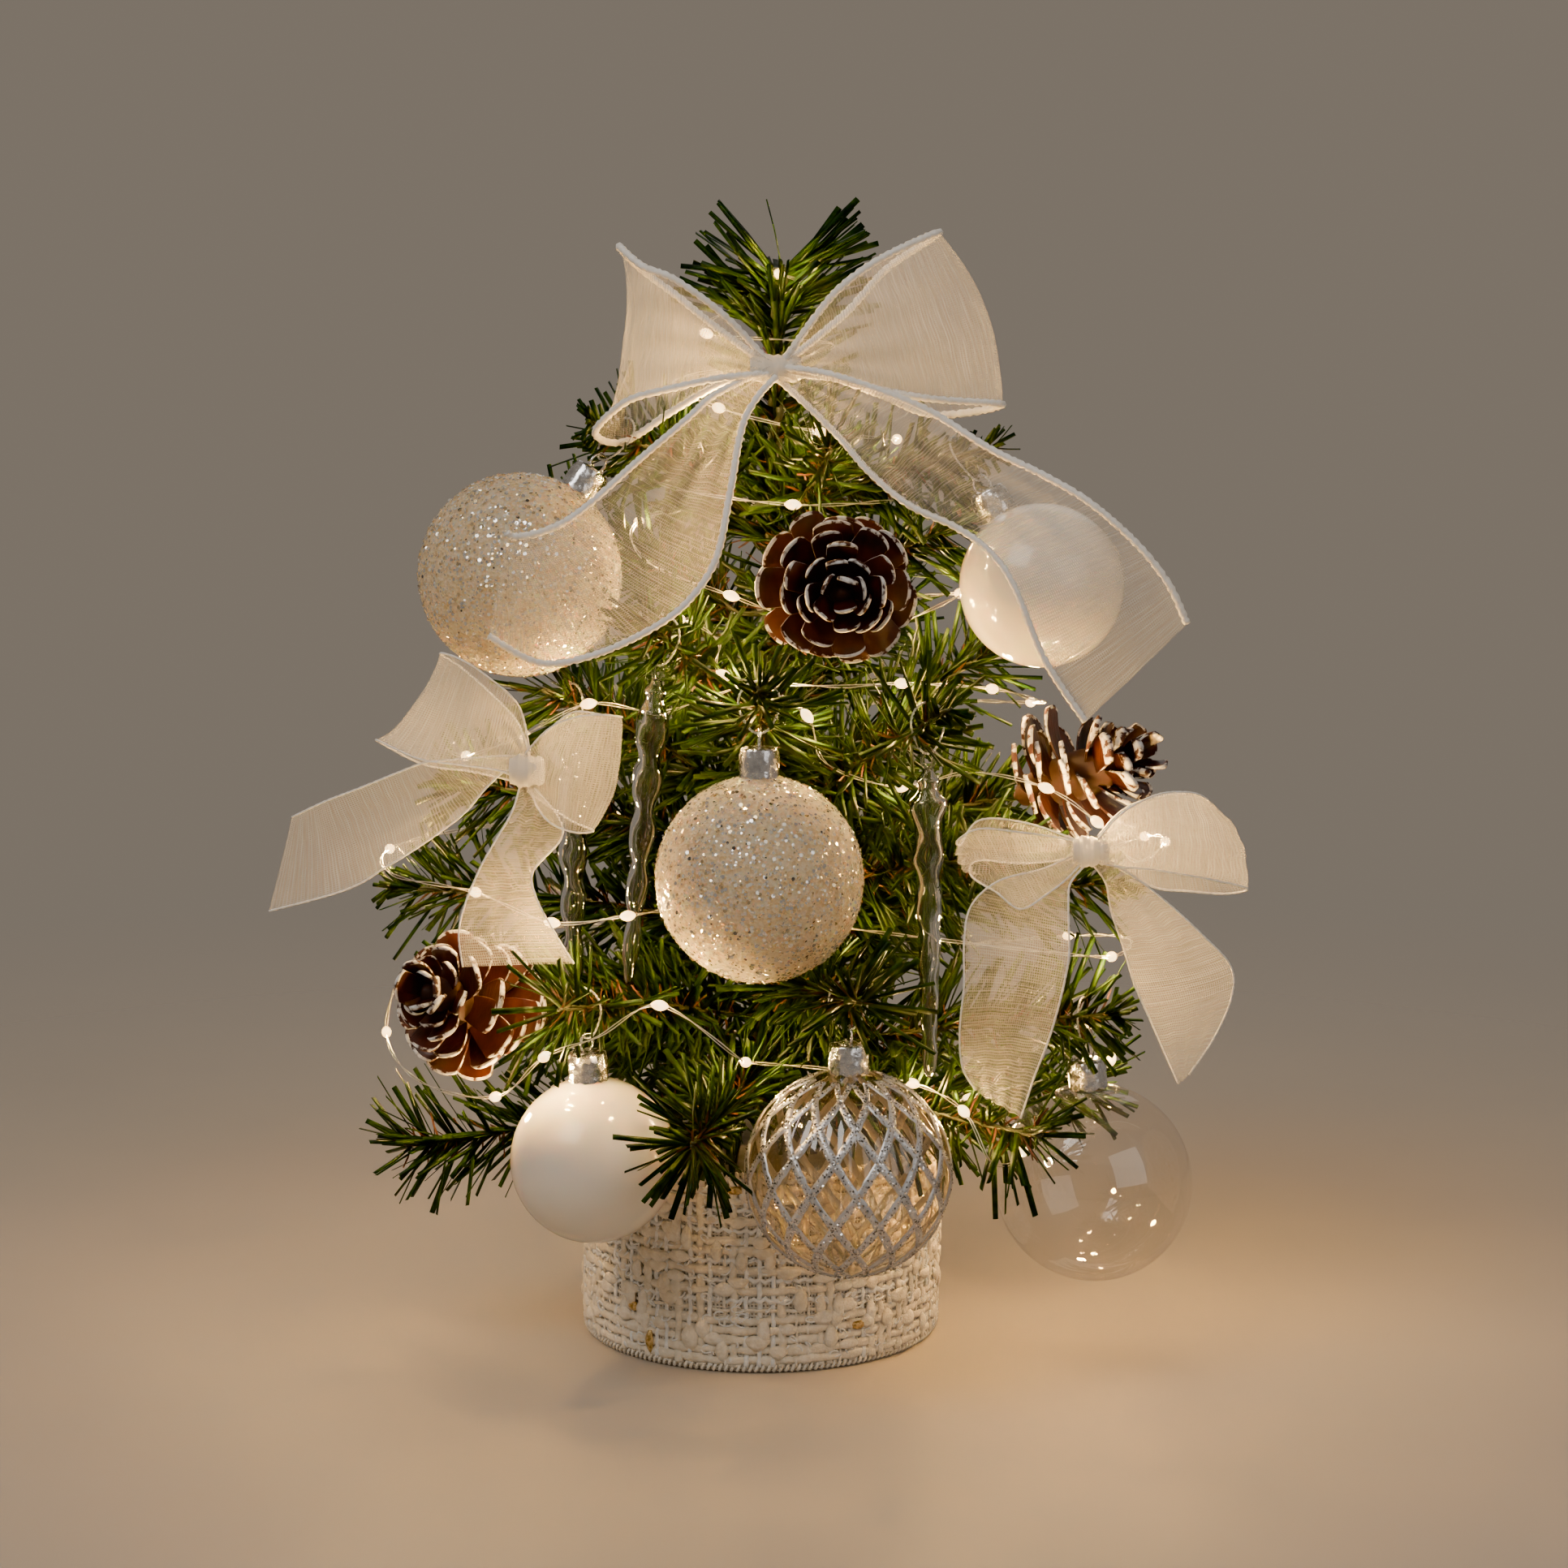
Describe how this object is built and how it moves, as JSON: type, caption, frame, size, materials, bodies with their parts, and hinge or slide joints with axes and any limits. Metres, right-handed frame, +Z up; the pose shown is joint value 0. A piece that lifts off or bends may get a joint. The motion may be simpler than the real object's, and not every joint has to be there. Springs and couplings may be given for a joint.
{
  "type": "artificial tabletop tree",
  "caption": "Small artificial tree on a fabric-covered round base, with hung baubles and icicles, pinecones, organza bows and a warm white light string.",
  "frame": {"origin": "centre of the underside of the base, on the surface that the tree stands on", "axes": "+Z up the trunk, -Y towards the decorated front"},
  "size_m": [0.2913, 0.2302, 0.344],
  "materials": {
    "tweed": "boucle weave",
    "pot_plastic": "matte",
    "plaster": "matte",
    "case_plastic": "satin",
    "cell_jacket": "printed jacket",
    "contact_steel": "plated",
    "trunk_wire": "twisted, green",
    "needles": "cut film strips on twisted wire",
    "glitter_glass": "frosted with coarse glitter",
    "opal_glass": "opal gloss",
    "clear_glass": "clear",
    "lattice_glass": "ribbed clear with a glitter lattice",
    "silver_foil": "crumpled foil",
    "silver_thread": "metallic thread",
    "clear_acrylic": "clear, twisted",
    "cone_scale": "dark scales, white painted edges",
    "organza": "sheer organza",
    "light_wire": "lacquered thin wire",
    "lamp": "warm white, lit"
  },
  "bodies": {
    "tree": {"ballast": "plaster", "base_tub": "pot_plastic", "battery_cell_1": "cell_jacket", "battery_cell_2": "cell_jacket", "battery_tray": "case_plastic", "bow_left": "organza", "bow_right": "organza", "bow_top": "organza", "branch_01": "needles", "branch_02": "needles", "branch_03": "needles", "branch_04": "needles", "branch_05": "needles", "branch_06": "needles", "branch_07": "needles", "branch_08": "needles", "branch_09": "needles", "branch_10": "needles", "branch_11": "needles", "branch_12": "needles", "branch_13": "needles", "branch_14": "needles", "branch_15": "needles", "branch_16": "needles", "branch_17": "needles", "branch_18": "needles", "contact_bridge": "contact_steel", "fabric_sleeve": "tweed", "light_string": "light_wire", "pinecone_front": "cone_scale", "pinecone_left": "cone_scale", "pinecone_right": "cone_scale", "top_cover": "pot_plastic", "trunk": "trunk_wire"},
    "bauble_glitter_front_loop": {"hanger_glitter_front": "silver_thread"},
    "bauble_glitter_front": {"bauble_glitter_front": "glitter_glass", "cap_glitter_front": "silver_foil"},
    "bauble_lattice_loop": {"hanger_lattice": "silver_thread"},
    "bauble_lattice": {"bauble_lattice": "lattice_glass", "cap_lattice": "silver_foil"},
    "bauble_clear_loop": {"hanger_clear": "silver_thread"},
    "bauble_clear": {"bauble_clear": "clear_glass", "cap_clear": "silver_foil"},
    "bauble_white_low_loop": {"hanger_white_low": "silver_thread"},
    "bauble_white_low": {"bauble_white_low": "opal_glass", "cap_white_low": "silver_foil"},
    "bauble_glitter_left_loop": {"hanger_glitter_left": "silver_thread"},
    "bauble_glitter_left": {"bauble_glitter_left": "glitter_glass", "cap_glitter_left": "silver_foil"},
    "bauble_white_right_loop": {"hanger_white_right": "silver_thread"},
    "bauble_white_right": {"bauble_white_right": "opal_glass", "cap_white_right": "silver_foil"},
    "icicle_left_loop": {"icicle_hanger_left": "silver_thread"},
    "icicle_left": {"icicle_left": "clear_acrylic"},
    "icicle_right_loop": {"icicle_hanger_right": "silver_thread"},
    "icicle_right": {"icicle_right": "clear_acrylic"},
    "icicle_inner_loop": {"icicle_hanger_inner": "silver_thread"},
    "icicle_inner": {"icicle_inner": "clear_acrylic"},
    "door": {"battery_door": "case_plastic"},
    "switch": {"switch_slider": "case_plastic"}
  },
  "joints": [
    {"name": "bauble_glitter_front_sway", "type": "hinge", "parent": "tree", "child": "bauble_glitter_front_loop", "pos_m": [0.0003, -0.082, 0.207], "axis": [0.0037, -1, 0], "range_deg": [-5, 5]},
    {"name": "bauble_glitter_front_swing", "type": "hinge", "parent": "bauble_glitter_front_loop", "child": "bauble_glitter_front", "pos_m": [0.0003, -0.082, 0.198], "axis": [-1, -0.0037, 0], "range_deg": [0, 20]},
    {"name": "bauble_lattice_sway", "type": "hinge", "parent": "tree", "child": "bauble_lattice_loop", "pos_m": [0.026, -0.086, 0.1214], "axis": [0.2894, -0.9572, 0], "range_deg": [-5, 5]},
    {"name": "bauble_lattice_swing", "type": "hinge", "parent": "bauble_lattice_loop", "child": "bauble_lattice", "pos_m": [0.026, -0.086, 0.1124], "axis": [-0.9572, -0.2894, 0], "range_deg": [0, 20]},
    {"name": "bauble_clear_sway", "type": "hinge", "parent": "tree", "child": "bauble_clear_loop", "pos_m": [0.098, -0.042, 0.107], "axis": [0.9166, -0.3947, 0.0642], "range_deg": [-8, 8]},
    {"name": "bauble_clear_swing", "type": "hinge", "parent": "bauble_clear_loop", "child": "bauble_clear", "pos_m": [0.09863, -0.042, 0.09802], "axis": [-0.3938, -0.9188, -0.0276], "range_deg": [0, 20]},
    {"name": "bauble_white_low_sway", "type": "hinge", "parent": "tree", "child": "bauble_white_low_loop", "pos_m": [-0.051, -0.072, 0.116], "axis": [-0.5768, -0.8164, -0.0288], "range_deg": [-6, 6]},
    {"name": "bauble_white_low_swing", "type": "hinge", "parent": "bauble_white_low_loop", "child": "bauble_white_low", "pos_m": [-0.05055, -0.072, 0.10701], "axis": [-0.8153, 0.5775, -0.0408], "range_deg": [0, 20]},
    {"name": "bauble_glitter_left_sway", "type": "hinge", "parent": "tree", "child": "bauble_glitter_left_loop", "pos_m": [-0.042, -0.0355, 0.282], "axis": [-0.5424, -0.6431, 0.5405], "range_deg": [-3, 3]},
    {"name": "bauble_glitter_left_swing", "type": "hinge", "parent": "bauble_glitter_left_loop", "child": "bauble_glitter_left", "pos_m": [-0.04706, -0.03731, 0.27478], "axis": [-0.6246, 0.739, 0.2525], "range_deg": [0, 12]},
    {"name": "bauble_white_right_sway", "type": "hinge", "parent": "tree", "child": "bauble_white_right_loop", "pos_m": [0.061, -0.033, 0.276], "axis": [0.721, -0.4456, 0.5306], "range_deg": [-4, 4]},
    {"name": "bauble_white_right_swing", "type": "hinge", "parent": "bauble_white_right_loop", "child": "bauble_white_right", "pos_m": [0.06555, -0.03467, 0.26842], "axis": [-0.4738, -0.8758, -0.0916], "range_deg": [0, 15]},
    {"name": "icicle_left_sway", "type": "hinge", "parent": "tree", "child": "icicle_left_loop", "pos_m": [-0.0285, -0.06, 0.2245], "axis": [-0.4252, -0.9041, 0.0425], "range_deg": [-6, 2]},
    {"name": "icicle_left_swing", "type": "hinge", "parent": "icicle_left_loop", "child": "icicle_left", "pos_m": [-0.0294, -0.06, 0.21554], "axis": [-0.8996, 0.4273, 0.09], "range_deg": [0, 8]},
    {"name": "icicle_right_sway", "type": "hinge", "parent": "tree", "child": "icicle_right_loop", "pos_m": [0.049, -0.072, 0.2], "axis": [0.5626, -0.8262, 0.0304], "range_deg": [-2, 4]},
    {"name": "icicle_right_swing", "type": "hinge", "parent": "icicle_right_loop", "child": "icicle_right", "pos_m": [0.04909, -0.07227, 0.191], "axis": [-0.8267, -0.5626, 0.0086], "range_deg": [0, 5]},
    {"name": "icicle_inner_sway", "type": "hinge", "parent": "tree", "child": "icicle_inner_loop", "pos_m": [-0.056, -0.038, 0.202], "axis": [-0.8288, -0.5568, 0.0557], "range_deg": [-4, 4]},
    {"name": "icicle_inner_swing", "type": "hinge", "parent": "icicle_inner_loop", "child": "icicle_inner", "pos_m": [-0.056, -0.0389, 0.19304], "axis": [-0.5596, 0.8247, -0.0825], "range_deg": [0, 4]},
    {"name": "battery_door_hinge", "type": "hinge", "parent": "tree", "child": "door", "pos_m": [0, 0.0384, 0.0012], "axis": [1, 0, 0], "range_deg": [0, 100]},
    {"name": "switch_slide", "type": "slide", "parent": "tree", "child": "switch", "axis": [1, 0, 0], "range_m": [0, 0.004]}
  ]
}
